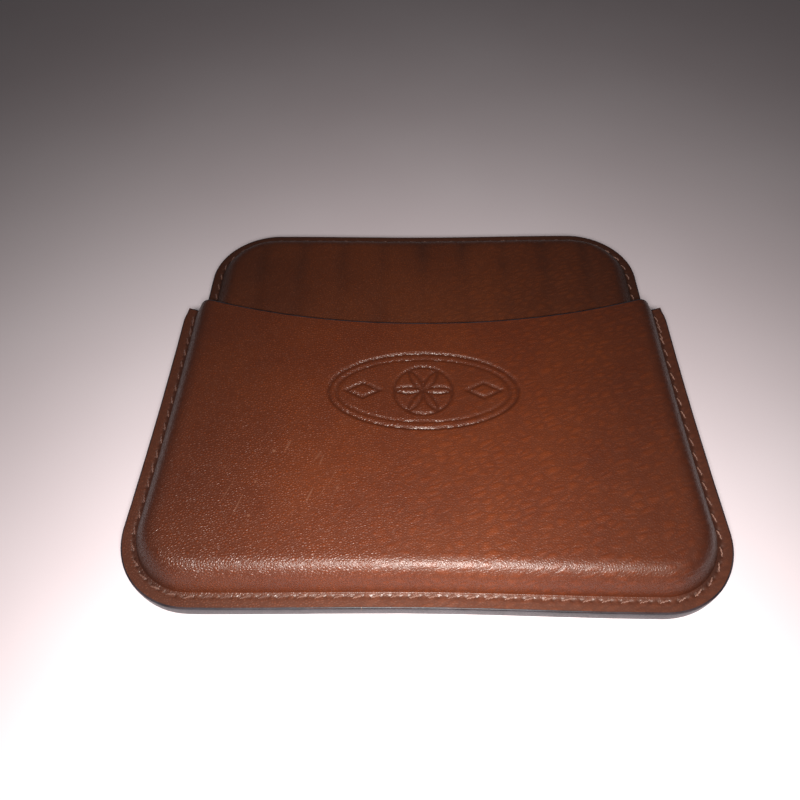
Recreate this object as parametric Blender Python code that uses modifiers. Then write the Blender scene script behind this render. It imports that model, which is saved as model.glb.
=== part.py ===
"""A slip case for cards, in moulded and stitched leather.

An outer sleeve is closed at one end, and an inner pouch slides out of its mouth. Each of the two is a domed
front and a domed back, both lined, sewn together along a flat flange round three sides. The pouch is pressed
into ribs, and its own mouth is inside the sleeve.

X is the width, and Y runs from the sleeve's closed end to the pouch's closed end. The case lies on its back,
with Z up. The origin is the centre of its underside. Every shell is drawn from the seam's middle plane.
"""

import math

import bmesh
import bpy

MM = 0.001

# Overall size
CASE_LENGTH = 87.4 * MM
CASE_THICKNESS = 12.0 * MM
SEAM_HEIGHT = CASE_THICKNESS / 2

# Outer sleeve. A "reach" is a distance along Y from a shell's closed end towards its mouth.
SLEEVE_WAIST_HALF_WIDTH = 50.4 * MM
SLEEVE_WAIST_REACH = 49.7 * MM
SLEEVE_WIDENING = 0.6 * MM
SLEEVE_WIDENING_SPAN = 36.2 * MM
SLEEVE_TIP_REACH = 64.8 * MM
SLEEVE_TIP_HALF_WIDTH = 50.0 * MM
SLEEVE_SCOOP = 8.6 * MM
SLEEVE_SCOOP_POWER = 2.1

# Inner pouch
POUCH_HALF_WIDTH = 46.4 * MM
POUCH_NARROWING = 0.5 * MM
POUCH_NARROWS_FROM = 21.5 * MM
POUCH_NARROWS_OVER = 7.0 * MM
POUCH_MOUTH_REACH = 76.4 * MM
POUCH_TO_SLEEVE_GAP = 0.4 * MM
RIB_PITCH = 8.8 * MM
GROOVE_DEPTH = 0.35 * MM

# Closed ends, alike on both shells
CORNER_RADIUS = 13.5 * MM
END_DIP = 0.7 * MM

# Walls: leather outside, lining inside, with films of glue between them and between the two flanges
GLUE = 0.1 * MM
SEAM_GLUE = 0.2 * MM
SLEEVE_LEATHER = 0.8 * MM
SLEEVE_LINING = 0.3 * MM
POUCH_LEATHER = 0.75 * MM
POUCH_LINING = 0.25 * MM
SLEEVE_FLANGE_WIDTH = 2.8 * MM
POUCH_FLANGE_WIDTH = 2.0 * MM
SLEEVE_SHOULDER_WIDTH = 6.0 * MM
POUCH_SHOULDER_WIDTH = 5.0 * MM

# Thread
THREAD_RADIUS = 0.2 * MM
THREAD_CLEARANCE = 0.05 * MM
THREAD_END_MARGIN = 1.5 * MM

# Fineness of the surfaces
SIDE_STEPS = 7
CORNER_STEPS = 6
THREAD_CORNER_STEPS = 8
SHOULDER_FRACTIONS = (0.0, 0.23, 0.55, 1.0)
SLEEVE_END_STEP = 8.3 * MM
PULL_POWER = 7


def smoothstep(value):
    """Rise smoothly from 0 to 1 while value goes from 0 to 1."""
    value = min(max(value, 0.0), 1.0)
    return value * value * (3.0 - 2.0 * value)


def sleeve_half_width(reach):
    """Half the sleeve's width: slightly waisted near the mouth, widest at the corners."""
    from_waist = (reach - SLEEVE_WAIST_REACH) / SLEEVE_WIDENING_SPAN
    return SLEEVE_WAIST_HALF_WIDTH + SLEEVE_WIDENING * from_waist**2


def sleeve_mouth(x):
    """Reach of the sleeve's mouth: scooped out in the middle, for a grip on the pouch."""
    outward = abs(x) / SLEEVE_TIP_HALF_WIDTH
    return SLEEVE_TIP_REACH - SLEEVE_SCOOP * (1.0 - outward**SLEEVE_SCOOP_POWER)


def pouch_half_width(reach):
    """Half the pouch's width: a little narrower along the stretch that runs inside the sleeve."""
    along = (reach - POUCH_NARROWS_FROM) / POUCH_NARROWS_OVER
    return POUCH_HALF_WIDTH - POUCH_NARROWING * smoothstep(along)


def pouch_mouth(x):
    """Reach of the pouch's straight mouth."""
    return POUCH_MOUTH_REACH


def shell(
    half_width,
    mouth,
    tip_reach,
    closed_y,
    towards_mouth,
    ply,
    flange_width,
    shoulder_width,
    top,
    groove,
    end_step,
):
    """Gather what the shape of one shell, sleeve or pouch, depends on."""
    return {
        "half_width": half_width,
        "mouth": mouth,
        "tip_reach": tip_reach,
        "closed_y": closed_y,
        "towards_mouth": towards_mouth,
        "flange_top": SEAM_GLUE / 2 + ply,
        "flange_width": flange_width,
        "shoulder_width": shoulder_width,
        "top": top,
        "groove": groove,
        "corner_x": half_width(CORNER_RADIUS) - CORNER_RADIUS,
        "end_step": end_step,
    }


SLEEVE_PLY = SLEEVE_LEATHER + GLUE + SLEEVE_LINING
POUCH_PLY = POUCH_LEATHER + GLUE + POUCH_LINING
SLEEVE = shell(
    half_width=sleeve_half_width,
    mouth=sleeve_mouth,
    tip_reach=SLEEVE_TIP_REACH,
    closed_y=-CASE_LENGTH / 2,
    towards_mouth=1.0,
    ply=SLEEVE_PLY,
    flange_width=SLEEVE_FLANGE_WIDTH,
    shoulder_width=SLEEVE_SHOULDER_WIDTH,
    top=SEAM_HEIGHT,
    groove=0.0,
    end_step=SLEEVE_END_STEP,
)
POUCH = shell(
    half_width=pouch_half_width,
    mouth=pouch_mouth,
    tip_reach=POUCH_MOUTH_REACH,
    closed_y=CASE_LENGTH / 2,
    towards_mouth=-1.0,
    ply=POUCH_PLY,
    flange_width=POUCH_FLANGE_WIDTH,
    shoulder_width=POUCH_SHOULDER_WIDTH,
    top=SEAM_HEIGHT - SLEEVE_PLY - POUCH_TO_SLEEVE_GAP,
    groove=GROOVE_DEPTH,
    end_step=RIB_PITCH / 2,
)


def height(form, x, inset):
    """Height of the leather over the seam's middle plane, at a distance inset from the outline."""
    rise = min(max((inset - form["flange_width"]) / form["shoulder_width"], 0.0), 1.0)
    dome = (form["top"] - form["flange_top"]) * math.sin(rise * math.pi / 2)
    groove = form["groove"] * (0.5 + 0.5 * math.cos(2 * math.pi * x / RIB_PITCH)) ** 4
    return form["flange_top"] + dome - groove * smoothstep(rise)


def end_edge(form, x):
    """Reach of the closed end's edge, which is dipped a little in the middle."""
    return END_DIP * (0.5 + 0.5 * math.cos(math.pi * x / form["corner_x"]))


def end_stops(form):
    """Evenly spaced x along the straight of the closed end, with the corners' own ends added."""
    count = int(form["corner_x"] / form["end_step"])
    inner = [k * form["end_step"] for k in range(-count, count + 1)]
    return [-form["corner_x"], *inner, form["corner_x"]]


def half_ring(form, inset, corner_steps, margin):
    """(x, reach) along one side and its corner, from the mouth to where the closed end begins."""
    mouth_x = form["half_width"](form["tip_reach"]) - inset
    mouth_reach = form["mouth"](mouth_x) - margin
    points = []
    for i in range(SIDE_STEPS):
        reach = mouth_reach + (CORNER_RADIUS - mouth_reach) * i / SIDE_STEPS
        points.append((form["half_width"](reach) - inset, reach))
    radius = CORNER_RADIUS - inset
    for i in range(corner_steps + 1):
        angle = math.pi / 2 * i / corner_steps
        x = form["corner_x"] + radius * math.cos(angle)
        points.append((x, CORNER_RADIUS - radius * math.sin(angle)))
    return points


def ring(form, inset, corner_steps, margin=0.0):
    """(x, reach) round the three closed sides, a distance inset from the outline, from -X to +X."""
    right = half_ring(form, inset, corner_steps, margin)
    left = [(-x, reach) for x, reach in right]
    middle = [(x, end_edge(form, x) + inset) for x in end_stops(form)[1:-1]]
    return left + middle + right[::-1]


def plateau_rows(form, inset):
    """Rows of (x, reach) that fill the inside of one ring, in columns that run straight from end to mouth."""
    around = ring(form, inset, CORNER_STEPS)
    last_row = SIDE_STEPS + CORNER_STEPS // 2
    end_row = around[last_row : len(around) - last_row]
    half_way = len(end_row) - 1
    mouth_x, mouth_reach = around[-1]
    corner_x, corner_reach = end_row[-1]
    rows = []
    for i in range(last_row, -1, -1):
        down = i / last_row
        side_x, side_reach = around[-1 - i]
        bulge = side_x - ((1 - down) * mouth_x + down * corner_x)
        row = []
        for j, (end_x, end_reach) in enumerate(end_row):
            across = 2 * j / half_way - 1
            top_x = math.copysign(mouth_x, across) if j in (0, half_way) else end_x
            x = (1 - down) * top_x + down * end_x + across**PULL_POWER * bulge
            over = form["mouth"](top_x) - mouth_reach if 0 < j < half_way else 0.0
            reach = side_reach + (1 - down) * over + down * (end_reach - corner_reach)
            row.append((x, reach))
        rows.append(row)
    return rows


def add_rows(mesh, form, rows, heights, side):
    """Join rows of points into quads. heights gives each row's distance in from the outline."""
    made = []
    for row, inset in zip(rows, heights):
        line = []
        for x, reach in row:
            y = form["closed_y"] + form["towards_mouth"] * reach
            line.append(mesh.verts.new((x, y, side * height(form, x, inset))))
        made.append(line)
    for first, second in zip(made, made[1:]):
        for a, b, c, d in zip(first, first[1:], second[1:], second):
            mesh.faces.new((a, b, c, d))


def skin_mesh(name, form, side):
    """The outer surface of a front (side 1) or a back (side -1), open at its edges, facing out."""
    insets = [0.0]
    insets += [form["flange_width"] + form["shoulder_width"] * part for part in SHOULDER_FRACTIONS]
    inner = insets[-1]
    mesh = bmesh.new()
    add_rows(mesh, form, [ring(form, inset, CORNER_STEPS) for inset in insets], insets, side)
    plateau = plateau_rows(form, inner)
    add_rows(mesh, form, plateau, [inner] * len(plateau), side)
    bmesh.ops.remove_doubles(mesh, verts=mesh.verts, dist=0.001 * MM)
    mesh.normal_update()
    if side * sum(face.normal.z for face in mesh.faces) < 0:
        bmesh.ops.reverse_faces(mesh, faces=mesh.faces)
    data = bpy.data.meshes.new(name)
    mesh.to_mesh(data)
    mesh.free()
    return data


def material(name, colour, roughness):
    """A plain finish: a linear colour and a roughness."""
    made = bpy.data.materials.new(name)
    made.use_nodes = True
    shader = made.node_tree.nodes["Principled BSDF"]
    shader.inputs["Base Color"].default_value = (*colour, 1.0)
    shader.inputs["Roughness"].default_value = roughness
    shader.inputs["Metallic"].default_value = 0.0
    return made


def place(data, name, parent, finish, collection):
    """Put a mesh or curve in the scene as the named part, on its body's empty."""
    part = bpy.data.objects.new(name, data)
    collection.objects.link(part)
    part.parent = parent
    data.materials.append(finish)
    return part


def add_wall(name, form, side, depth, thickness, parent, finish, collection):
    """One layer of a front or a back, from a depth under the outer surface down through its thickness."""
    part = place(skin_mesh(name, form, side), name, parent, finish, collection)
    part.data.shade_smooth()
    wall = part.modifiers.new("thickness", "SOLIDIFY")
    wall.thickness = thickness
    wall.offset = -1.0 - 2.0 * depth / thickness
    wall.use_even_offset = True
    return part


def add_thread(name, form, side, parent, finish, collection):
    """The line of thread along the flange, just clear of the leather."""
    inset = form["flange_width"] - 2 * THREAD_RADIUS
    z = side * (form["flange_top"] + THREAD_CLEARANCE + THREAD_RADIUS)
    points = ring(form, inset, THREAD_CORNER_STEPS, THREAD_END_MARGIN)
    curve = bpy.data.curves.new(name, "CURVE")
    curve.dimensions = "3D"
    curve.bevel_depth = THREAD_RADIUS
    curve.bevel_resolution = 1
    curve.use_fill_caps = True
    line = curve.splines.new("POLY")
    line.points.add(len(points) - 1)
    for point, (x, reach) in zip(line.points, points):
        point.co = (x, form["closed_y"] + form["towards_mouth"] * reach, z, 1.0)
    return place(curve, name, parent, finish, collection)


def add_empty(name, location, collection):
    """The point that one body's parts hang from."""
    made = bpy.data.objects.new(name, None)
    made.empty_display_size = CORNER_RADIUS
    made.location = location
    collection.objects.link(made)
    return made


def add_shell(prefix, form, leather, lining, parent, finishes, collection):
    """A front and a back, each with its lining and its line of thread."""
    layers = (("panel", 0.0, leather, "leather"), ("lining", leather + GLUE, lining, "lining"))
    for face, side in (("front", 1), ("back", -1)):
        for layer, depth, thickness, finish in layers:
            name = f"{prefix}_{face}_{layer}"
            add_wall(name, form, side, depth, thickness, parent, finishes[finish], collection)
        add_thread(f"{prefix}_{face}_thread", form, side, parent, finishes["thread"], collection)


def build():
    """Clear the scene, then make the sleeve and the pouch."""
    for old in list(bpy.data.objects):
        bpy.data.objects.remove(old, do_unlink=True)
    collection = bpy.data.collections.new("card_slip_case")
    bpy.context.scene.collection.children.link(collection)
    lining = material("lining_leather", (0.16, 0.07, 0.035), 0.7)
    thread = material("linen_thread", (0.62, 0.43, 0.3), 0.6)
    sleeve_finishes = {
        "leather": material("sleeve_leather", (0.32, 0.1, 0.03), 0.45),
        "lining": lining,
        "thread": thread,
    }
    pouch_finishes = {
        "leather": material("pouch_leather", (0.2, 0.065, 0.025), 0.5),
        "lining": lining,
        "thread": thread,
    }
    sleeve_seat = add_empty("sleeve_seam_plane", (0.0, 0.0, SEAM_HEIGHT), collection)
    pouch_axis = add_empty("pouch_slide_axis", (0.0, 0.0, SEAM_HEIGHT), collection)
    add_shell(
        "sleeve", SLEEVE, SLEEVE_LEATHER, SLEEVE_LINING, sleeve_seat, sleeve_finishes, collection
    )
    add_shell("pouch", POUCH, POUCH_LEATHER, POUCH_LINING, pouch_axis, pouch_finishes, collection)


build()
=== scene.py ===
"""The looks of the slip case for cards: moulded leather, suede lining, painted edges and stitches.

Each layer is cut as a flat pattern, given more points where it has fine detail, and then moulded over the
form of its shell. X is the width, and Y runs from the sleeve's closed end to the pouch's. A "reach" is a
distance along Y from a shell's own closed end towards its mouth. An "inset" is a distance in from its
outline.
"""

import math
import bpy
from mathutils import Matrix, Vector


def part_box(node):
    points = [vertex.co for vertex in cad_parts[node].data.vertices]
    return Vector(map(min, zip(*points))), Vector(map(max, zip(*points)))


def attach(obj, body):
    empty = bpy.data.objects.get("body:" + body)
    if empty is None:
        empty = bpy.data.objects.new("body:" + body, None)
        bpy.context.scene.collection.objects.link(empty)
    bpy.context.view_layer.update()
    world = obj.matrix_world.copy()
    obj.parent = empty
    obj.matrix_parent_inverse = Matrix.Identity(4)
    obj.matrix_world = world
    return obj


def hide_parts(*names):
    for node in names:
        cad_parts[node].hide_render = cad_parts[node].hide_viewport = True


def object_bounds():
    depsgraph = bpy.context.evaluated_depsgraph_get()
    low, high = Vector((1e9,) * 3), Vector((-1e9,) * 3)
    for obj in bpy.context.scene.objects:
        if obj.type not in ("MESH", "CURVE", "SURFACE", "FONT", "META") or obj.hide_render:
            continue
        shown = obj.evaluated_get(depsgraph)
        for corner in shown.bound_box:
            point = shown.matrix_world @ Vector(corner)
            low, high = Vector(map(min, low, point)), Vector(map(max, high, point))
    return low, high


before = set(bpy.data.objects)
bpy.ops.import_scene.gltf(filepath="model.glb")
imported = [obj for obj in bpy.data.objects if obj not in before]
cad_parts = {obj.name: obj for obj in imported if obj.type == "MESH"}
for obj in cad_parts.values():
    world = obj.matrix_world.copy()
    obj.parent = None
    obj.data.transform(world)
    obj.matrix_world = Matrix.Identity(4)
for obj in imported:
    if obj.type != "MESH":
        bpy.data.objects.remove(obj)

from types import SimpleNamespace

import bmesh
import bpy
import numpy as np
from mathutils import Matrix, Vector, noise

MM = 0.001
CAD_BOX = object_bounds()

# The fixed frame
SLEEVE_LOW, SLEEVE_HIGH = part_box("sleeve_front_panel")
POUCH_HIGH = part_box("pouch_front_panel")[1]
SEAM_Z = (CAD_BOX[0].z + CAD_BOX[1].z) / 2

# Walls and forms
GLUE = 0.1 * MM
SEAM_GLUE = 0.2 * MM
SLEEVE_REACH = 64.8 * MM
POUCH_REACH = 76.4 * MM
CORNER_RADIUS = 13.5 * MM
END_DIP = 0.45 * MM
RIB_PITCH = 8.8 * MM
FILLET_SHARE = 0.07
UNEVEN_DEPTH = 0.16 * MM
SLOW_WAVE = (26, 22)
QUICK_WAVE = (7, 9)

# Finish of the edges
PAINT_COVER = 0.15 * MM
PAINT_DEPTH = 0.32 * MM
PAINT_PROUD = 0.03 * MM
TIP_RADIUS = 0.9 * MM
TIP_NARROWING = 0.5 * MM
TIP_NARROWS_OVER = 4.0 * MM
TIP_STEPS = 6
MOUTH_POINTS = 151
SEAM_SHORT_OF_MOUTH = 1.2 * MM

# Stitching
STITCH_PITCH = 3.0 * MM
STITCH_REACH = 0.56
STITCH_SLANT = 0.5 * MM
STITCH_SLIP = 0.05 * MM
STITCH_STEPS = 11
PLY_SIDES = 5
PLY_RADIUS = 0.08 * MM
PLY_OFFSET = 0.08 * MM
PLY_TWIST = 1.2 * MM
SEAM_DIP = 0.05 * MM
HOLE_RADIUS = 0.24 * MM
HOLE_DEPTH = 0.18 * MM
HOLE_SHADE = 0.35

# Stamped motif on the sleeve's front
MOTIF_Y = -4.0 * MM
MOTIF_LONG = 17.5 * MM
MOTIF_SHORT = 8.6 * MM
MOTIF_DEPTH = 0.24 * MM
FIELD_DEPTH = 0.1 * MM
LINE_HALF_WIDTH = 0.34 * MM
OVAL_GAP = 1.5 * MM
ROSETTE_RADIUS = 5.4 * MM
LOZENGE_X = 11.2 * MM

# Fineness of the patterns
SIDE_STEPS = 44
CORNER_STEPS = 18
SHOULDER_STEPS = 13
SHEET_STEP = 1.1 * MM
FINE_CUTS = 3

# Leather's surface, in mm where it is measured in the materials
PEBBLE_SIZE = 0.42
PEBBLE_DEPTH = 0.054 * MM
SCUFF_PLACE = (-24.0, -24.0, 11.0)
SCRATCH_TURN = -0.35
ROW_TURN = 0.42
PALE_WEAR = (0.25, 0.11, 0.065)
# Colour of the painted shade in the needle holes
HOLE_SHADE_COLOUR = (0.01, 0.005, 0.004)
WARM_SHINE = (1.0, 0.88, 0.76)

# The stage
FLOOR_REACH = 2.0
FLOOR_GAP = 0.2 * MM

rng = np.random.default_rng(7)


def smoothstep(value):
    """A smooth step from 0 to 1 while the value goes from 0 to 1."""
    value = np.clip(value, 0.0, 1.0)
    return value * value * (3.0 - 2.0 * value)


# ---------------------------------------------------------------- the two forms


def sleeve_half_width(reach):
    """Half the sleeve's width: slightly waisted, and drawn in a little at the very tips."""
    waist = 50.4 * MM + 0.6 * MM * ((reach - 49.7 * MM) / (36.2 * MM)) ** 2
    near_tip = smoothstep((reach - SLEEVE_REACH + TIP_NARROWS_OVER) / TIP_NARROWS_OVER)
    return waist - TIP_NARROWING * near_tip


def sleeve_mouth(x):
    """Reach of the sleeve's scooped mouth."""
    return SLEEVE_REACH - 8.6 * MM * (1.0 - (np.abs(x) / (50.0 * MM)) ** 2.1)


def pouch_half_width(reach):
    """Half the pouch's width: a little less where it hides in the sleeve."""
    return 46.4 * MM - 0.5 * MM * smoothstep((reach - 21.5 * MM) / (7.0 * MM))


def pouch_mouth(x):
    """Reach of the pouch's straight mouth."""
    return POUCH_REACH + 0.0 * x


SLEEVE = SimpleNamespace(
    body="sleeve", closed_y=SLEEVE_LOW.y, towards_mouth=1.0,
    half_width=sleeve_half_width, mouth=sleeve_mouth, tip_reach=SLEEVE_REACH,
    flange_width=2.6 * MM, shoulder_width=5.0 * MM, leather=0.8 * MM, lining=0.3 * MM,
    top=SLEEVE_HIGH.z - SEAM_Z, fullness=2.8, groove=0.0, stitch_inset=2.0 * MM,
)
POUCH = SimpleNamespace(
    body="pouch", closed_y=POUCH_HIGH.y, towards_mouth=-1.0,
    half_width=pouch_half_width, mouth=pouch_mouth, tip_reach=POUCH_REACH,
    flange_width=2.0 * MM, shoulder_width=5.0 * MM, leather=0.75 * MM, lining=0.25 * MM,
    top=POUCH_HIGH.z - SEAM_Z, fullness=2.2, groove=0.3 * MM, stitch_inset=1.7 * MM,
)
for shell in (SLEEVE, POUCH):
    shell.corner_x = float(shell.half_width(CORNER_RADIUS)) - CORNER_RADIUS
    shell.ply = shell.leather + GLUE + shell.lining
    shell.flange_top = SEAM_GLUE / 2 + shell.ply


def end_edge(shell, x):
    """Reach of the closed end's edge, dipped a little in the middle."""
    return END_DIP * (0.5 + 0.5 * np.cos(math.pi * np.clip(x / shell.corner_x, -1, 1)))


def inset_at(shell, x, reach):
    """Distance in from the outline, round the three closed sides."""
    beyond_x = np.abs(x) - shell.corner_x
    beyond_reach = CORNER_RADIUS - reach
    corner = CORNER_RADIUS - np.hypot(beyond_x, beyond_reach)
    straight = np.minimum(shell.half_width(reach) - np.abs(x), reach - end_edge(shell, x))
    return np.where((beyond_x > 0) & (beyond_reach > 0), corner, straight)


def over_shoulder(shell, x, reach):
    """How far up the shoulder a point lies: 0 on the flange and 1 on the top."""
    return np.clip((inset_at(shell, x, reach) - shell.flange_width) / shell.shoulder_width, 0.0, 1.0)


def between_ribs(x):
    """1 in the middle of each groove between two ribs, and 0 on the ribs."""
    return (0.5 + 0.5 * np.cos(2 * math.pi * x / RIB_PITCH)) ** 4


def height(shell, x, reach):
    """Height of the leather's outer surface over the seam plane."""
    rise = over_shoulder(shell, x, reach)
    dome = (shell.top - shell.flange_top) * (1.0 - (1.0 - rise) ** shell.fullness)
    dome = dome * smoothstep(rise / FILLET_SHARE)
    groove = shell.groove * between_ribs(x)
    return shell.flange_top + dome - groove * smoothstep(rise)


def mould(shell, side, x, reach, depth=0.0):
    """Places and normals in space of pattern points, pressed over the form and sunk by a depth below it."""
    step = 0.02 * MM
    z = height(shell, x, reach)
    slope_x = (height(shell, x + step, reach) - height(shell, x - step, reach)) / (2 * step)
    slope_reach = (height(shell, x, reach + step) - height(shell, x, reach - step)) / (2 * step)
    normals = np.stack([-slope_x, -slope_reach * shell.towards_mouth, np.ones_like(x)], axis=-1)
    normals /= np.linalg.norm(normals, axis=-1, keepdims=True)
    normals[..., 2] *= side
    places = np.stack([x, shell.closed_y + shell.towards_mouth * reach, SEAM_Z + side * z], axis=-1)
    return places - normals * np.asarray(depth)[..., None], normals


def unevenness(shell, side, x, reach):
    """How far a hand-moulded surface lies under its true form: always inwards, and flat at the flange."""
    rise = smoothstep(over_shoulder(shell, x, reach))
    seed = 3.1 * side + (7.7 if shell is POUCH else 0.0)
    found = []
    for px, pr in zip(x / MM, reach / MM):
        slow = noise.noise(Vector((px / SLOW_WAVE[0], pr / SLOW_WAVE[1], seed)))
        quick = noise.noise(Vector((px / QUICK_WAVE[0], pr / QUICK_WAVE[1], seed + 5)))
        found.append(0.5 + 0.42 * slow + 0.14 * quick)
    return UNEVEN_DEPTH * np.clip(np.array(found), 0, 1) * rise


# ---------------------------------------------------------------- flat patterns


def half_ring(shell, inset, cover):
    """(x, reach) down the side at +X and round its corner, from a distance short of the mouth."""
    mouth_x = float(shell.half_width(shell.tip_reach)) - inset
    mouth_reach = float(shell.mouth(mouth_x)) - cover
    points = []
    for i in range(SIDE_STEPS):
        reach = mouth_reach + (CORNER_RADIUS - mouth_reach) * i / SIDE_STEPS
        points.append((float(shell.half_width(reach)) - inset, reach))
    for i in range(CORNER_STEPS + 1):
        angle = math.pi / 2 * i / CORNER_STEPS
        radius = CORNER_RADIUS - inset
        points.append((shell.corner_x + radius * math.cos(angle), CORNER_RADIUS - radius * math.sin(angle)))
    return points


def ring(shell, inset, cover=0.0):
    """(x, reach) round the three closed sides, a distance inset from the outline, from -X to +X."""
    right = half_ring(shell, inset, cover)
    count = int(shell.corner_x / SHEET_STEP)
    inner = [k * shell.corner_x / (count + 1) for k in range(-count, count + 1)]
    middle = [(x, float(end_edge(shell, x)) + inset) for x in inner]
    return [(-x, reach) for x, reach in right] + middle + right[::-1]


def plateau_rows(shell, inset, cover):
    """Rows of (x, reach) that fill the inside of one ring, in columns from the end to the mouth."""
    around = ring(shell, inset, cover)
    last_row = SIDE_STEPS + CORNER_STEPS // 2
    end_row = around[last_row : len(around) - last_row]
    half_way = len(end_row) - 1
    mouth_x, mouth_reach = around[-1]
    corner_x, corner_reach = end_row[-1]
    rows = []
    for i in range(last_row, -1, -1):
        down = i / last_row
        side_x, side_reach = around[-1 - i]
        bulge = side_x - ((1 - down) * mouth_x + down * corner_x)
        row = []
        for j, (end_x, end_reach) in enumerate(end_row):
            across = 2 * j / half_way - 1
            top_x = end_x * mouth_x / corner_x
            x = (1 - down) * top_x + down * end_x + across**7 * bulge
            over = float(shell.mouth(top_x)) - cover - mouth_reach if 0 < j < half_way else 0.0
            row.append((x, side_reach + (1 - down) * over + down * (end_reach - corner_reach)))
        rows.append(row)
    return rows


def add_grid(mesh, rows):
    """Quads between rows of (x, reach) that have as many points each."""
    made = [[mesh.verts.new((x, reach, 0.0)) for x, reach in row] for row in rows]
    for first, second in zip(made, made[1:]):
        for a, b, c, d in zip(first, first[1:], second[1:], second):
            mesh.faces.new((a, b, c, d))


def flat_pattern(shell, insets, cover):
    """The cut shape of one layer as a flat sheet of quads: its points (x, reach), and its faces."""
    mesh = bmesh.new()
    add_grid(mesh, [ring(shell, inset, cover) for inset in insets])
    add_grid(mesh, plateau_rows(shell, insets[-1], cover))
    bmesh.ops.remove_doubles(mesh, verts=mesh.verts, dist=0.001 * MM)
    return read_sheet(mesh)


def refined(points, faces, wanted):
    """The sheet with its wanted quads divided, but none along its own edge. New points come last."""
    mesh = bmesh.new()
    verts = [mesh.verts.new((x, reach, 0.0)) for x, reach in points]
    for face in faces:
        mesh.faces.new([verts[i] for i in face])
    edges = set()
    for face in mesh.faces:
        middle = face.calc_center_median()
        if wanted(middle.x, middle.y) and not any(edge.is_boundary for edge in face.edges):
            edges.update(face.edges)
    bmesh.ops.subdivide_edges(mesh, edges=list(edges), cuts=FINE_CUTS, use_grid_fill=True)
    return read_sheet(mesh)


def read_sheet(mesh):
    """Points and faces of a flat mesh, every face turned the same way up. The mesh is freed."""
    mesh.verts.index_update()
    mesh.normal_update()
    points = np.array([vert.co[:2] for vert in mesh.verts])
    faces = []
    for face in mesh.faces:
        loop = [vert.index for vert in face.verts]
        faces.append(loop if face.normal.z > 0 else loop[::-1])
    mesh.free()
    return points, faces


def boundary_edges(faces):
    """Edges that belong to one face only, in that face's own direction."""
    directed = {(a, b) for face in faces for a, b in zip(face, face[1:] + face[:1])}
    return [(a, b) for a, b in directed if (b, a) not in directed]


# ---------------------------------------------------------------- making pieces


def make_piece(name, places, faces, finish, body, smooth_angle=50.0, attributes=None):
    """A smooth mesh with its finish and point attributes, which rides on a body."""
    data = bpy.data.meshes.new(name)
    data.from_pydata(places.tolist(), [], faces)
    for key, values in (attributes or {}).items():
        layer = data.attributes.new(key, "FLOAT", "POINT")
        layer.data.foreach_set("value", np.asarray(values, np.float32))
    data.materials.append(finish)
    data.shade_smooth()
    data.set_sharp_from_angle(angle=math.radians(smooth_angle))
    piece = bpy.data.objects.new(name, data)
    bpy.context.scene.collection.objects.link(piece)
    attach(piece, body)
    return piece


def layer_piece(name, shell, side, depth, thickness, insets, finish, wanted=None, detail=None):
    """A closed sheet of leather or lining: a detailed outer face, a plain inner face and a rim."""
    under, under_faces = flat_pattern(shell, insets, PAINT_COVER)
    over, over_faces = refined(under, under_faces, wanted) if wanted else (under, under_faces)
    sink = unevenness(shell, side, over[:, 0], over[:, 1])
    pressed, marks = detail(over[:, 0], over[:, 1]) if detail else (0.0 * sink, {})
    outer, _ = mould(shell, side, over[:, 0], over[:, 1], depth + sink + pressed)
    inner_sink = unevenness(shell, side, under[:, 0], under[:, 1])
    inner, _ = mould(shell, side, under[:, 0], under[:, 1], depth + thickness + inner_sink)
    first_inner = len(over)
    faces = list(over_faces)
    faces += [[first_inner + i for i in face[::-1]] for face in under_faces]
    faces += [[b, a, first_inner + a, first_inner + b] for a, b in boundary_edges(under_faces)]
    if side * shell.towards_mouth < 0:
        faces = [face[::-1] for face in faces]
    marks = {key: np.concatenate([values, np.zeros(len(under))]) for key, values in marks.items()}
    both = np.concatenate([over, under])
    marks["from_edge"] = inset_at(shell, both[:, 0], both[:, 1]) / MM
    places = np.concatenate([outer, inner])
    return make_piece(name, places, faces, finish, shell.body, attributes=marks)


# ---------------------------------------------------------------- stitching


def stitch_track(shell):
    """The seam's stitch line as cumulative length and points."""
    points = np.array(ring(shell, shell.stitch_inset, SEAM_SHORT_OF_MOUTH))
    steps = np.hypot(*np.diff(points, axis=0).T)
    return np.concatenate([[0.0], np.cumsum(steps)]), points


def on_track(track, along):
    """Points at some lengths along a track, and the track's direction there."""
    lengths, points = track
    along = np.asarray(along)
    place = np.stack([np.interp(along, lengths, points[:, k]) for k in (0, 1)], axis=-1)
    ahead = np.stack([np.interp(along + 0.3 * MM, lengths, points[:, k]) for k in (0, 1)], axis=-1)
    behind = np.stack([np.interp(along - 0.3 * MM, lengths, points[:, k]) for k in (0, 1)], axis=-1)
    tangent = ahead - behind
    return place, tangent / np.linalg.norm(tangent, axis=-1, keepdims=True)


def stitch_spans(shell):
    """(start, end) along the track of every stitch, with a few doubled at both ends of the seam."""
    length = stitch_track(shell)[0][-1]
    count = round(length / STITCH_PITCH)
    pitch = length / count
    starts = [pitch * (k + (1 - STITCH_REACH) / 2) for k in range(count)]
    doubled = [pitch * (k + 0.55) for k in (0, 1)]
    doubled += [length - pitch * (k + 1.35) for k in (0, 1)]
    return [(start, start + pitch * STITCH_REACH) for start in starts + doubled]


def hole_places(shell):
    """(x, reach) of every needle hole."""
    spans = np.array(stitch_spans(shell)).ravel()
    return on_track(stitch_track(shell), spans)[0]


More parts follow.
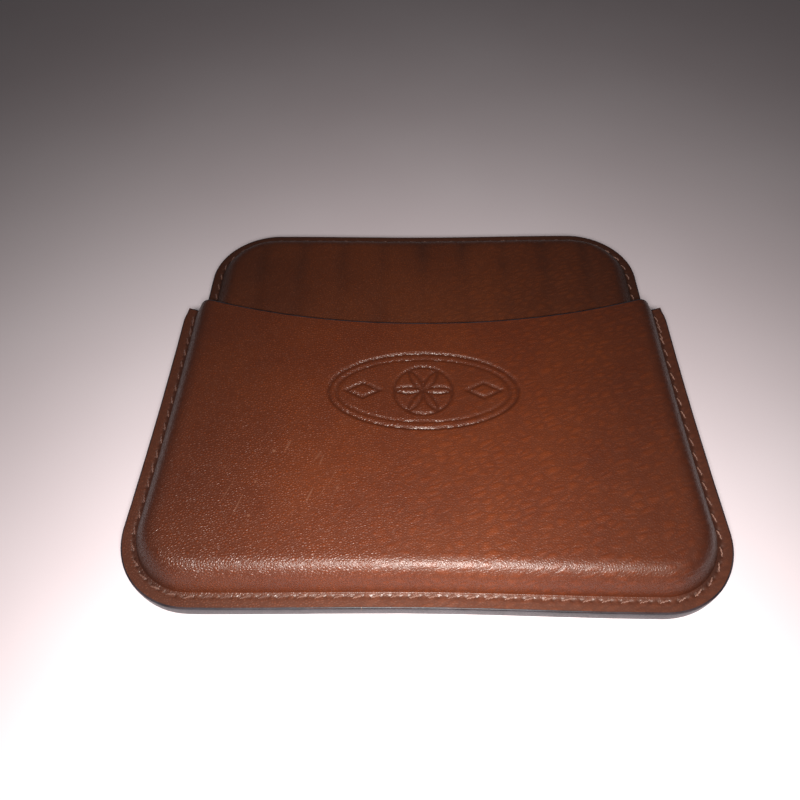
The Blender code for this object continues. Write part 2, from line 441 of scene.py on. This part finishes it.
def stitch_centres(shell, side, track, start, end, slip):
    """Lengths along the track, and points in space, down the middle of one stitch."""
    share = np.linspace(0.0, 1.0, STITCH_STEPS)
    along = start + (end - start) * share
    place, tangent = on_track(track, along)
    outward = np.stack([tangent[:, 1], -tangent[:, 0]], axis=-1)
    slant = STITCH_SLANT * side * shell.towards_mouth * (0.5 - share) + slip[0]
    flat = place + outward * slant[:, None]
    arch = 1.0 - np.abs(2 * share - 1) ** 4
    lift = (-0.26 + 0.22 * arch + 0.1 * (share - 0.5)) * MM + 0.3 * slip[1]
    z = SEAM_Z + side * (shell.flange_top + lift)
    return along, np.stack([flat[:, 0], shell.closed_y + shell.towards_mouth * flat[:, 1], z], axis=-1)


def ply_rings(centres, turn):
    """Rings of points round one ply of a twisted thread."""
    forward = np.gradient(centres, axis=0)
    forward /= np.linalg.norm(forward, axis=-1, keepdims=True)
    sideways = np.cross(forward, [0.0, 0.0, 1.0])
    sideways /= np.linalg.norm(sideways, axis=-1, keepdims=True)
    upward = np.cross(sideways, forward)
    offset = np.cos(turn)[:, None] * sideways + np.sin(turn)[:, None] * upward
    rings = []
    for k in range(PLY_SIDES):
        angle = 2 * math.pi * k / PLY_SIDES
        around = math.cos(angle) * sideways + math.sin(angle) * upward
        rings.append(centres + PLY_OFFSET * offset + PLY_RADIUS * around)
    return np.stack(rings, axis=1).reshape(-1, 3)


def tube_faces(first, rings, sides):
    """Faces of a tube of point rings, closed at both ends."""
    faces = []
    for i in range(rings - 1):
        for k in range(sides):
            a = first + i * sides + k
            b = first + i * sides + (k + 1) % sides
            faces.append([a, b, b + sides, a + sides])
    faces.append([first + k for k in range(sides)][::-1])
    faces.append([first + (rings - 1) * sides + k for k in range(sides)])
    return faces


def stitches(name, shell, side, finish):
    """All the stitches of one face: two plies twisted together, each end sunk into its hole."""
    track = stitch_track(shell)
    places, faces, soil = [], [], []
    for start, end in stitch_spans(shell):
        slip = rng.normal(0, STITCH_SLIP, 2)
        along, centres = stitch_centres(shell, side, track, start, end, slip)
        dirt = rng.uniform(0.0, 1.0)
        for ply in (0, 1):
            turn = 2 * math.pi * (along - start) / PLY_TWIST + math.pi * ply + dirt * 6
            faces += tube_faces(sum(len(block) for block in places), STITCH_STEPS, PLY_SIDES)
            places.append(ply_rings(centres, turn))
            soil.append(np.full(STITCH_STEPS * PLY_SIDES, dirt))
    return make_piece(
        name, np.concatenate(places), faces, finish, shell.body, 80.0, {"soil": np.concatenate(soil)}
    )


# ---------------------------------------------------------------- painted edges


def paint_profile(half_height):
    """(outward, upward) round the section of a painted edge: flat behind, with round shoulders in front."""
    profile = [(-PAINT_DEPTH, half_height)]
    for k in range(9):
        angle = math.pi / 2 * (1 - k / 4)
        roundness = max(math.cos(angle), 0.0) ** 0.5
        profile.append((0.65 * PAINT_DEPTH * (roundness - 1), half_height * math.sin(angle)))
    return profile + [(-PAINT_DEPTH, -half_height)]


def sweep_paint(name, body, centres, outward, upward, half_height, finish, seed):
    """A coat of paint along an edge, closed at both ends."""
    outline = paint_profile(half_height)
    places = []
    for i, centre in enumerate(centres):
        sway = 0.02 * MM * noise.noise(Vector((i * 0.35, seed, 0.0)))
        swell = 1.0 + 0.03 * noise.noise(Vector((i * 0.21, seed, 4.0)))
        for u, w in outline:
            places.append(centre + outward[i] * (u + sway) + upward[i] * w * swell)
    faces = tube_faces(0, len(centres), len(outline))
    piece = make_piece(name, np.array(places), faces, finish, body, 60.0)
    face_out(piece)
    return piece


def face_out(piece):
    """Turn every face of a closed piece outwards."""
    mesh = bmesh.new()
    mesh.from_mesh(piece.data)
    bmesh.ops.recalc_face_normals(mesh, faces=mesh.faces)
    mesh.to_mesh(piece.data)
    mesh.free()


def seam_paint(shell, finish):
    """The painted edge round the closed sides, turned in round both tips and across the flange's end."""
    tip_x = float(shell.half_width(shell.tip_reach))
    turn_x = tip_x - TIP_RADIUS
    turn_reach = float(shell.mouth(turn_x)) - TIP_RADIUS
    flange_end = np.linspace(tip_x - shell.flange_width, turn_x - 0.3 * MM, 4)
    right = [(x, float(shell.mouth(x))) for x in flange_end]
    for k in range(TIP_STEPS + 1):
        angle = math.pi / 2 * (1 - k / TIP_STEPS)
        right.append((turn_x + TIP_RADIUS * math.cos(angle), turn_reach + TIP_RADIUS * math.sin(angle)))
    down_side = half_ring(shell, 0.0, 0.0)
    right += [point for point in down_side if point[1] < turn_reach - 0.2 * MM]
    left = [(-x, reach) for x, reach in right]
    middle = ring(shell, 0.0)[len(down_side) : -len(down_side)]
    path = np.array(left + middle + right[::-1])
    tangent = np.gradient(path, axis=0)
    tangent /= np.linalg.norm(tangent, axis=-1, keepdims=True)
    outward = np.stack([tangent[:, 1], -tangent[:, 0] * shell.towards_mouth, 0 * tangent[:, 0]], axis=-1)
    centres = np.stack(
        [path[:, 0], shell.closed_y + shell.towards_mouth * path[:, 1], np.full(len(path), SEAM_Z)], axis=-1
    )
    upward = np.tile([0.0, 0.0, 1.0], (len(path), 1))
    return sweep_paint(
        f"{shell.body}_edge_paint", shell.body, centres, outward, upward,
        shell.flange_top + PAINT_PROUD, finish, shell.closed_y * 100,
    )


def mouth_paint(shell, face, side, finish):
    """The painted edge of one panel's mouth, over the dome from flange to flange."""
    last_x = float(shell.half_width(shell.tip_reach)) - 1.2 * MM
    x = np.linspace(-last_x, last_x, MOUTH_POINTS)
    reach = shell.mouth(x)
    surface, normals = mould(shell, side, x, reach)
    ahead, _ = mould(shell, side, x, reach + 0.1 * MM)
    outward = ahead - surface
    outward /= np.linalg.norm(outward, axis=-1, keepdims=True)
    sink = unevenness(shell, side, x, reach)[:, None]
    centres = surface - normals * (shell.ply / 2 + sink)
    return sweep_paint(
        f"{shell.body}_{face}_mouth_paint", shell.body, centres, outward, normals,
        shell.ply / 2 + PAINT_PROUD, finish, side * 3.0,
    )


# ---------------------------------------------------------------- the stamped motif


def line_mark(distance):
    """1 on a stamped line and 0 away from it."""
    return 1.0 - smoothstep(np.abs(distance) / LINE_HALF_WIDTH - 0.2)


def motif_marks(x, y):
    """The stamp's lines and sunk field, 0 to 1: two ovals, a compass-drawn rosette and two lozenges."""
    y = y - MOTIF_Y
    across = np.hypot(x / MOTIF_LONG, y / MOTIF_SHORT)
    outer = (across - 1.0) * MOTIF_SHORT * (1 + 0.6 * (np.abs(x) / MOTIF_LONG) ** 2)
    marks = line_mark(outer)
    inner_long, inner_short = MOTIF_LONG - OVAL_GAP, MOTIF_SHORT - OVAL_GAP
    inner = (np.hypot(x / inner_long, y / inner_short) - 1.0) * inner_short
    marks = np.maximum(marks, 0.7 * line_mark(inner * 1.3))
    radius = np.hypot(x, y)
    marks = np.maximum(marks, line_mark(radius - ROSETTE_RADIUS))
    for k in range(6):
        angle = math.pi / 3 * k
        centre_x, centre_y = ROSETTE_RADIUS * math.cos(angle), ROSETTE_RADIUS * math.sin(angle)
        arc = np.hypot(x - centre_x, y - centre_y) - ROSETTE_RADIUS
        marks = np.maximum(marks, np.where(radius < ROSETTE_RADIUS, line_mark(arc), 0.0))
    lozenge = (np.abs(np.abs(x) - LOZENGE_X) / 3.0 + np.abs(y) / 1.7 - 1.0 * MM) * 1.2
    marks = np.maximum(marks, line_mark(lozenge))
    field = 1.0 - smoothstep(outer / (0.8 * MM) + 0.5)
    return marks, field


# ---------------------------------------------------------------- materials


class Finish:
    """A node material, built from a few short calls."""

    def __init__(self, name):
        self.material = bpy.data.materials.new(name)
        self.material.use_nodes = True
        self.tree = self.material.node_tree
        self.shader = self.tree.nodes["Principled BSDF"]
        place = self.add("ShaderNodeTexCoord").outputs["Object"]
        self.mm = self.add("ShaderNodeVectorMath", operation="SCALE")
        self.tree.links.new(place, self.mm.inputs[0])
        self.mm.inputs["Scale"].default_value = 1.0 / MM
        self.mm = self.mm.outputs[0]

    def add(self, kind, **settings):
        node = self.tree.nodes.new(kind)
        for key, value in settings.items():
            setattr(node, key, value)
        return node

    def feed(self, socket, value):
        if isinstance(value, bpy.types.NodeSocket):
            self.tree.links.new(value, socket)
        elif isinstance(value, tuple) and len(value) == 3 and socket.type == "RGBA":
            socket.default_value = (*value, 1.0)
        else:
            socket.default_value = value

    def math(self, operation, first, second=0.0, third=0.0):
        node = self.add("ShaderNodeMath", operation=operation)
        for socket, value in zip(node.inputs, (first, second, third)):
            self.feed(socket, value)
        return node.outputs[0]

    def ramp(self, value, low, high, start=0.0, end=1.0):
        """A smooth step from start to end while value goes from low to high."""
        node = self.add("ShaderNodeMapRange", interpolation_type="SMOOTHSTEP")
        for socket, given in zip(node.inputs, (value, low, high, start, end)):
            self.feed(socket, given)
        return node.outputs[0]

    def mix(self, share, first, second):
        node = self.add("ShaderNodeMix", data_type="RGBA")
        self.feed(node.inputs["Factor"], share)
        self.feed(node.inputs[6], first)
        self.feed(node.inputs[7], second)
        return node.outputs[2]

    def stretched(self, place, stretch, turn=0.0):
        """The place for a pattern that is drawn out along three axes, and then turned about Z."""
        node = self.add("ShaderNodeMapping", vector_type="TEXTURE")
        self.feed(node.inputs["Vector"], place)
        self.feed(node.inputs["Rotation"], (0.0, 0.0, turn))
        self.feed(node.inputs["Scale"], stretch)
        return node.outputs[0]

    def noise(self, place, scale, detail=2.0, roughness=0.5, output="Fac"):
        node = self.add("ShaderNodeTexNoise")
        self.feed(node.inputs["Vector"], place)
        self.feed(node.inputs["Scale"], scale)
        self.feed(node.inputs["Detail"], detail)
        self.feed(node.inputs["Roughness"], roughness)
        return node.outputs[output]

    def cells(self, place, scale, feature="DISTANCE_TO_EDGE"):
        node = self.add("ShaderNodeTexVoronoi", feature=feature)
        self.feed(node.inputs["Vector"], place)
        self.feed(node.inputs["Scale"], scale)
        return node.outputs["Distance"]

    def wobble(self, place, scale, size):
        """The place, pushed about by soft noise up to about half a size."""
        push = self.add("ShaderNodeVectorMath", operation="MULTIPLY_ADD")
        self.feed(push.inputs[0], self.noise(place, scale, output="Color"))
        self.feed(push.inputs[1], (size, size, size))
        self.feed(push.inputs[2], place)
        return push.outputs[0]

    def attribute(self, name):
        return self.add("ShaderNodeAttribute", attribute_name=name).outputs["Fac"]

    def bump(self, tall, distance):
        """Relief from a height, for the surface and for the wax over it."""
        node = self.add("ShaderNodeBump")
        self.feed(node.inputs["Height"], tall)
        self.feed(node.inputs["Distance"], distance)
        for name in ("Normal", "Coat Normal"):
            self.tree.links.new(node.outputs[0], self.shader.inputs[name])

    def set(self, **values):
        for key, value in values.items():
            self.feed(self.shader.inputs[key.replace("_", " ")], value)
        return self.material


def grain(finish):
    """Height of the leather, its pebbles alone, and X, Y, Z in mm. On one side the pebbles run in rows."""
    place = finish.wobble(finish.mm, 0.8, 0.3)
    round_cells = finish.ramp(finish.cells(place, 1.0 / PEBBLE_SIZE), 0.0, 0.42)
    drawn = finish.stretched(place, (2.3, 1.0, 1.0), ROW_TURN)
    long_cells = finish.ramp(finish.cells(drawn, 0.38 / PEBBLE_SIZE), 0.0, 0.42)
    axes = finish.add("ShaderNodeSeparateXYZ")
    finish.feed(axes.inputs[0], finish.mm)
    drift = finish.math("MULTIPLY_ADD", finish.noise(finish.mm, 0.05), 40.0, axes.outputs["X"])
    drift = finish.math("MULTIPLY_ADD", axes.outputs["Y"], -0.5, drift)
    share = finish.ramp(drift, 0.0, 42.0, 0.0, 0.55)
    drawn_out = finish.math("SUBTRACT", long_cells, round_cells)
    pebble = finish.math("MULTIPLY_ADD", drawn_out, share, round_cells)
    wrinkle = finish.ramp(finish.cells(place, 2.7 / PEBBLE_SIZE), 0.0, 0.4)
    tall = finish.math("MULTIPLY_ADD", wrinkle, 0.13, pebble)
    swell = finish.noise(finish.mm, 0.45, 2.0)
    tall = finish.math("MULTIPLY_ADD", swell, 0.5, tall)
    return finish.math("MULTIPLY_ADD", finish.noise(finish.mm, 6.0, 2.0), 0.1, tall), pebble, axes


def side_polish_and_shade(finish, axes):
    """Share of dark polish with painted shade of the steep shoulders beside the two long seams, and of
    painted shade towards both sides.
    """
    sides = finish.ramp(finish.math("ABSOLUTE", axes.outputs["X"]), 34.0, 46.0)
    from_edge = finish.attribute("from_edge")
    # Dark polish beside the seams, together with painted shade of the steep side shoulders.
    fading = finish.ramp(from_edge, 3.5, 13.0, 0.8, 0.0)
    rubbed_and_shaded = finish.math("MULTIPLY", finish.ramp(from_edge, 1.2, 2.4), fading)
    # Painted shade, darker towards both sides.
    painted_side_shade = finish.ramp(finish.math("ABSOLUTE", axes.outputs["X"]), 16.0, 44.0, 0.0, 0.33)
    return finish.math("MAXIMUM", finish.math("MULTIPLY", rubbed_and_shaded, sides), painted_side_shade)


def scuffs(finish, axes):
    """Share of pale wear: a few specks and thin scratches on one part of the sleeve's front."""
    offset = finish.add("ShaderNodeVectorMath", operation="DISTANCE")
    finish.feed(offset.inputs[0], finish.mm)
    finish.feed(offset.inputs[1], SCUFF_PLACE)
    worn = finish.ramp(offset.outputs["Value"], 5.0, 15.0, 0.7, 0.0)
    specks = finish.ramp(finish.cells(finish.mm, 0.3, "F1"), 0.06, 0.11, 0.8, 0.0)
    strokes = finish.noise(finish.stretched(finish.mm, (0.45, 6.0, 1.0), SCRATCH_TURN), 0.7, 1.0)
    scratches = finish.ramp(strokes, 0.68, 0.74, 0.0, 0.45)
    return finish.math("MULTIPLY", worn, finish.math("MAXIMUM", specks, scratches))


def leather(name, light, dark, dark_polish_and_shade, flange, roughness, wax, scuffed):
    """Burnished leather. Painted shade darkens its creases, grooves and sides, polish with painted shade
    darkens beside the seams, and the stamp is darker.
    """
    finish = Finish(name)
    tall, pebble, axes = grain(finish)
    blotch = finish.ramp(finish.noise(finish.mm, 0.07, 4.0, 0.55), 0.3, 0.7)
    fine = finish.ramp(finish.noise(finish.mm, 1.3, 3.0), 0.35, 0.75, 0.0, 0.3)
    colour = finish.mix(fine, finish.mix(blotch, dark, light), dark)
    pressed = finish.attribute("pressed")
    # Painted shade in the creases between the pebbles.
    painted_crease_shade = finish.math("MULTIPLY_ADD", pebble, -0.5, 0.5)
    # Painted shade in the pouch's grooves, mottled.
    painted_groove_shade = finish.math("MULTIPLY", finish.attribute("groove"), finish.ramp(blotch, 0.0, 1.0, 0.45, 0.2))
    stamp = finish.math("MULTIPLY", pressed, 0.5)
    # On the sleeve the flange's lighter, pinker colour is a painted sheen; on the pouch the flange is made
    # darker.
    colour = finish.mix(finish.ramp(finish.attribute("from_edge"), 2.2, 3.0, 0.75, 0.0), colour, flange)
    # The dark colour goes in as painted shade in creases, grooves and towards the sides, as polish with
    # painted shade beside the seams, and into the stamp.
    for share in (painted_crease_shade, side_polish_and_shade(finish, axes), painted_groove_shade, stamp):
        colour = finish.mix(share, colour, dark_polish_and_shade)
    if scuffed:
        colour = finish.mix(scuffs(finish, axes), colour, PALE_WEAR)
    # Painted shade in the needle holes.
    colour = finish.mix(finish.attribute("painted_hole_shade"), colour, HOLE_SHADE_COLOUR)
    rough = finish.math("MULTIPLY_ADD", finish.noise(finish.mm, 0.6, 3.0), 0.2, roughness - 0.1)
    rough = finish.math("MULTIPLY_ADD", pressed, -0.12, rough)
    ironed = finish.ramp(finish.attribute("from_edge"), 1.8, 3.2, 0.5, 1.0)
    finish.bump(finish.math("MULTIPLY", tall, ironed), PEBBLE_DEPTH)
    return finish.set(
        Base_Color=colour, Roughness=rough, Specular_Tint=WARM_SHINE, Coat_Weight=wax, Coat_Roughness=0.27
    )


def suede(name, light, dark):
    finish = Finish(name)
    patches = finish.ramp(finish.noise(finish.mm, 0.12, 3.0), 0.3, 0.7)
    nap = finish.noise(finish.stretched(finish.mm, (1.0, 2.0, 1.0)), 5.0, 4.0, 0.65)
    colour = finish.mix(patches, dark, light)
    colour = finish.mix(finish.ramp(nap, 0.35, 0.7, 0.0, 0.5), colour, light)
    finish.bump(nap, 0.08 * MM)
    return finish.set(Base_Color=colour, Roughness=0.9, Sheen_Weight=0.35, Sheen_Roughness=0.5)


def edge_paint(name):
    finish = Finish(name)
    broad = finish.noise(finish.mm, 0.35, 3.0)
    fine = finish.noise(finish.mm, 3.0, 3.0)
    colour = finish.mix(finish.ramp(broad, 0.3, 0.7), (0.012, 0.011, 0.014), (0.032, 0.028, 0.034))
    chips = finish.ramp(finish.noise(finish.wobble(finish.mm, 2.0, 0.8), 0.55, 5.0, 0.7), 0.68, 0.72)
    colour = finish.mix(chips, colour, (0.3, 0.18, 0.13))
    rough = finish.math("MULTIPLY_ADD", fine, 0.25, 0.28)
    finish.bump(finish.math("MULTIPLY_ADD", fine, 0.25, broad), 0.05 * MM)
    return finish.set(Base_Color=colour, Roughness=rough, Specular_IOR_Level=0.35)


def waxed_thread(name):
    finish = Finish(name)
    soil = finish.attribute("soil")
    fibre = finish.noise(finish.stretched(finish.mm, (0.33, 1.0, 0.33)), 4.0, 3.0)
    colour = finish.mix(finish.ramp(fibre, 0.3, 0.7), (0.17, 0.075, 0.05), (0.34, 0.18, 0.125))
    across = finish.add("ShaderNodeSeparateXYZ")
    finish.feed(across.inputs[0], finish.mm)
    # The thread is made darker towards -X, on top of each stitch's own random dirt.
    darker_to_left = finish.ramp(across.outputs["X"], -42.0, 5.0, 0.5, 0.0)
    colour = finish.mix(finish.math("MULTIPLY_ADD", soil, 0.5, darker_to_left), colour, (0.1, 0.032, 0.017))
    finish.bump(fibre, 0.03 * MM)
    return finish.set(Base_Color=colour, Roughness=0.5, Sheen_Weight=0.2, Sheen_Roughness=0.4)


# ---------------------------------------------------------------- the case


def leather_insets(shell):
    """Rings from the outline in: close together at the stitches, then over the shoulder."""
    stitch = shell.stitch_inset
    flange = [PAINT_COVER, (PAINT_COVER + stitch) / 2 - 0.3 * MM, stitch - 0.7 * MM, stitch]
    foot = [0.0, 0.03, 0.07, 0.12]
    parts = foot + [0.12 + 0.88 * k / SHOULDER_STEPS for k in range(1, SHOULDER_STEPS + 1)]
    return flange + [shell.flange_width + shell.shoulder_width * part for part in parts]


def sleeve_detail(front):
    """The sleeve's fine relief and its marks for the finish. Only the front has the stamp."""

    def detail(x, reach):
        painted_hole_shade, dip = stitch_marks(SLEEVE, x, reach)
        pressed = np.zeros_like(x)
        if front:
            marks, field = motif_marks(x, SLEEVE.closed_y + reach)
            pressed = np.maximum(marks, 0.25 * field)
            dip = dip + MOTIF_DEPTH * marks + FIELD_DEPTH * field
        return dip, {"pressed": pressed, "painted_hole_shade": painted_hole_shade}

    return detail


def pouch_detail(x, reach):
    """The pouch's fine relief, and its marks for the finish: the grooves get painted shade."""
    painted_hole_shade, dip = stitch_marks(POUCH, x, reach)
    rise = smoothstep(over_shoulder(POUCH, x, reach))
    fading = 1.0 - 0.6 * smoothstep((reach - 6.0 * MM) / (16.0 * MM))
    groove = fading * rise * between_ribs(x)
    return dip, {"pressed": np.zeros_like(x), "painted_hole_shade": painted_hole_shade, "groove": groove}


def stitch_marks(shell, x, reach):
    """The painted shade in each needle hole, and how far the leather is pulled down along its seam and at
    the holes.
    """
    inset = inset_at(shell, x, reach)
    line = SEAM_DIP * np.exp(-(((inset - shell.stitch_inset) / (0.4 * MM)) ** 2))
    nearest = np.full(len(x), 1.0)
    for hole_x, hole_reach in hole_places(shell):
        nearest = np.minimum(nearest, np.hypot(x - hole_x, reach - hole_reach))
    hole = np.exp(-((nearest / HOLE_RADIUS) ** 2))
    return hole * HOLE_SHADE, line + HOLE_DEPTH * hole


def by_stitches(shell):
    """A test for the quads that need more points for the needle holes."""

    def wanted(x, reach):
        inset = float(inset_at(shell, np.float64(x), np.float64(reach)))
        return abs(inset - shell.stitch_inset) < 0.75 * MM

    return wanted


def by_stitches_or_motif(x, reach):
    """The same test for the sleeve's front, which has the stamp too."""
    y = SLEEVE.closed_y + reach
    motif = np.hypot(x / (MOTIF_LONG + 1.2 * MM), (y - MOTIF_Y) / (MOTIF_SHORT + 1.2 * MM)) < 1.0
    return motif or by_stitches(SLEEVE)(x, reach)


def add_shell(shell, skin, lining, thread, paint, details, finer):
    """One shell: front and back leather, linings, stitches and painted edges."""
    across = (0.0, 0.2, 0.4, 0.6, 0.8, 1.0)
    lining_insets = [PAINT_COVER] + [shell.flange_width + shell.shoulder_width * part for part in across]
    for face, side in (("front", 1), ("back", -1)):
        label = f"{shell.body}_{face}"
        panel = layer_piece(
            f"{label}_leather", shell, side, 0.0, shell.leather, leather_insets(shell), skin,
            finer[face], details[face],
        )
        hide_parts(f"{label}_panel")
        inner = layer_piece(
            f"{label}_suede", shell, side, shell.leather + GLUE, shell.lining, lining_insets, lining
        )
        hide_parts(f"{label}_lining")
        seam = stitches(f"{label}_stitches", shell, side, thread)
        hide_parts(f"{label}_thread")
        mouth_paint(shell, face, side, paint)
    seam_paint(shell, paint)


def build_case():
    lining = suede("lining_suede", (0.19, 0.095, 0.055), (0.11, 0.05, 0.028))
    thread = waxed_thread("waxed_linen")
    paint = edge_paint("edge_paint")
    sleeve_skin = leather(
        "sleeve_pebbled_leather", light=(0.168, 0.0305, 0.0036), dark=(0.133, 0.022, 0.0028),
        dark_polish_and_shade=(0.028, 0.0078, 0.0046), flange=(0.12, 0.036, 0.017),
        roughness=0.49, wax=0.42, scuffed=True,
    )
    pouch_skin = leather(
        "pouch_pebbled_leather", light=(0.142, 0.03, 0.0062), dark=(0.109, 0.0222, 0.0048),
        dark_polish_and_shade=(0.022, 0.0066, 0.0043), flange=(0.062, 0.019, 0.0085),
        roughness=0.52, wax=0.1, scuffed=False,
    )
    add_shell(
        SLEEVE, sleeve_skin, lining, thread, paint,
        {"front": sleeve_detail(True), "back": sleeve_detail(False)},
        {"front": by_stitches_or_motif, "back": by_stitches(SLEEVE)},
    )
    add_shell(
        POUCH, pouch_skin, lining, thread, paint,
        {"front": pouch_detail, "back": pouch_detail},
        {"front": by_stitches(POUCH), "back": by_stitches(POUCH)},
    )


# ---------------------------------------------------------------- the stage


def build_floor():
    finish = Finish("pale_tabletop")
    cloud = finish.noise(finish.mm, 0.01, 3.0)
    speck = finish.noise(finish.mm, 1.2, 2.0)
    colour = finish.mix(finish.ramp(cloud, 0.3, 0.7), (0.82, 0.72, 0.735), (0.88, 0.79, 0.805))
    finish.bump(speck, 0.01 * MM)
    finish.set(Base_Color=colour, Roughness=finish.math("MULTIPLY_ADD", cloud, 0.1, 0.5))
    data = bpy.data.meshes.new("tabletop")
    corners = [(-1, -1), (1, -1), (1, 1), (-1, 1)]
    data.from_pydata([(FLOOR_REACH * x, FLOOR_REACH * y, 0.0) for x, y in corners], [], [(0, 1, 2, 3)])
    data.materials.append(finish.material)
    floor = bpy.data.objects.new("tabletop", data)
    floor.location.z = -FLOOR_GAP
    bpy.context.scene.collection.objects.link(floor)


def add_lamp(name, location, target, size, spread, power, colour):
    lamp = bpy.data.lights.new(name, "AREA")
    lamp.shape = "RECTANGLE"
    lamp.size, lamp.size_y = size
    lamp.spread = math.radians(spread)
    lamp.energy = power
    lamp.color = colour
    made = bpy.data.objects.new(name, lamp)
    turn = (Vector(target) - Vector(location)).to_track_quat("-Z", "Y")
    made.matrix_world = Matrix.Translation(location) @ turn.to_matrix().to_4x4()
    made.visible_camera = False
    bpy.context.scene.collection.objects.link(made)


def build_lights():
    """A small lamp close by the camera, so that the case hides its own shadow, and a broad one overhead."""
    add_lamp(
        "near_lamp", location=(-0.001, -0.1, 0.13), target=(0.0, -0.055, 0.0),
        size=(0.042, 0.026), spread=112, power=0.185, colour=(1.0, 0.96, 0.95),
    )
    add_lamp(
        "overhead_softbox", location=(0.05, 0.15, 0.7), target=(0.0, 0.0, 0.0),
        size=(0.6, 0.6), spread=180, power=0.09, colour=(1.0, 0.98, 1.0),
    )
    world = bpy.data.worlds.new("soft_room")
    world.use_nodes = True
    world.node_tree.nodes["Background"].inputs["Color"].default_value = (0.95, 0.92, 0.94, 1.0)
    world.node_tree.nodes["Background"].inputs["Strength"].default_value = 0.05
    bpy.context.scene.world = world


def build_camera():
    """A phone's main camera close over the near edge, looking down across the case."""
    pitch, roll, yaw = math.radians(54.5), math.radians(-1.93), math.radians(-2.56)
    across = Vector((math.cos(yaw), -math.sin(yaw), 0.0))
    ahead = Vector((math.sin(yaw), math.cos(yaw), 0.0))
    forward = math.cos(pitch) * ahead - math.sin(pitch) * Vector((0, 0, 1))
    down = -math.sin(pitch) * ahead - math.cos(pitch) * Vector((0, 0, 1))
    right = math.cos(roll) * across - math.sin(roll) * down
    below = math.sin(roll) * across + math.cos(roll) * down
    lens = bpy.data.cameras.new("phone_lens")
    lens.sensor_width = 36.0
    lens.lens = 30.0
    lens.clip_start = 0.005
    camera = bpy.data.objects.new("phone_camera", lens)
    turn = Matrix((right, -below, -forward)).transposed().to_4x4()
    camera.matrix_world = Matrix.Translation((-0.0011, -0.0771, 0.1111)) @ turn
    bpy.context.scene.collection.objects.link(camera)
    bpy.context.scene.camera = camera


build_case()
build_floor()
build_lights()
build_camera()
bpy.context.scene.view_settings.view_transform = "Standard"
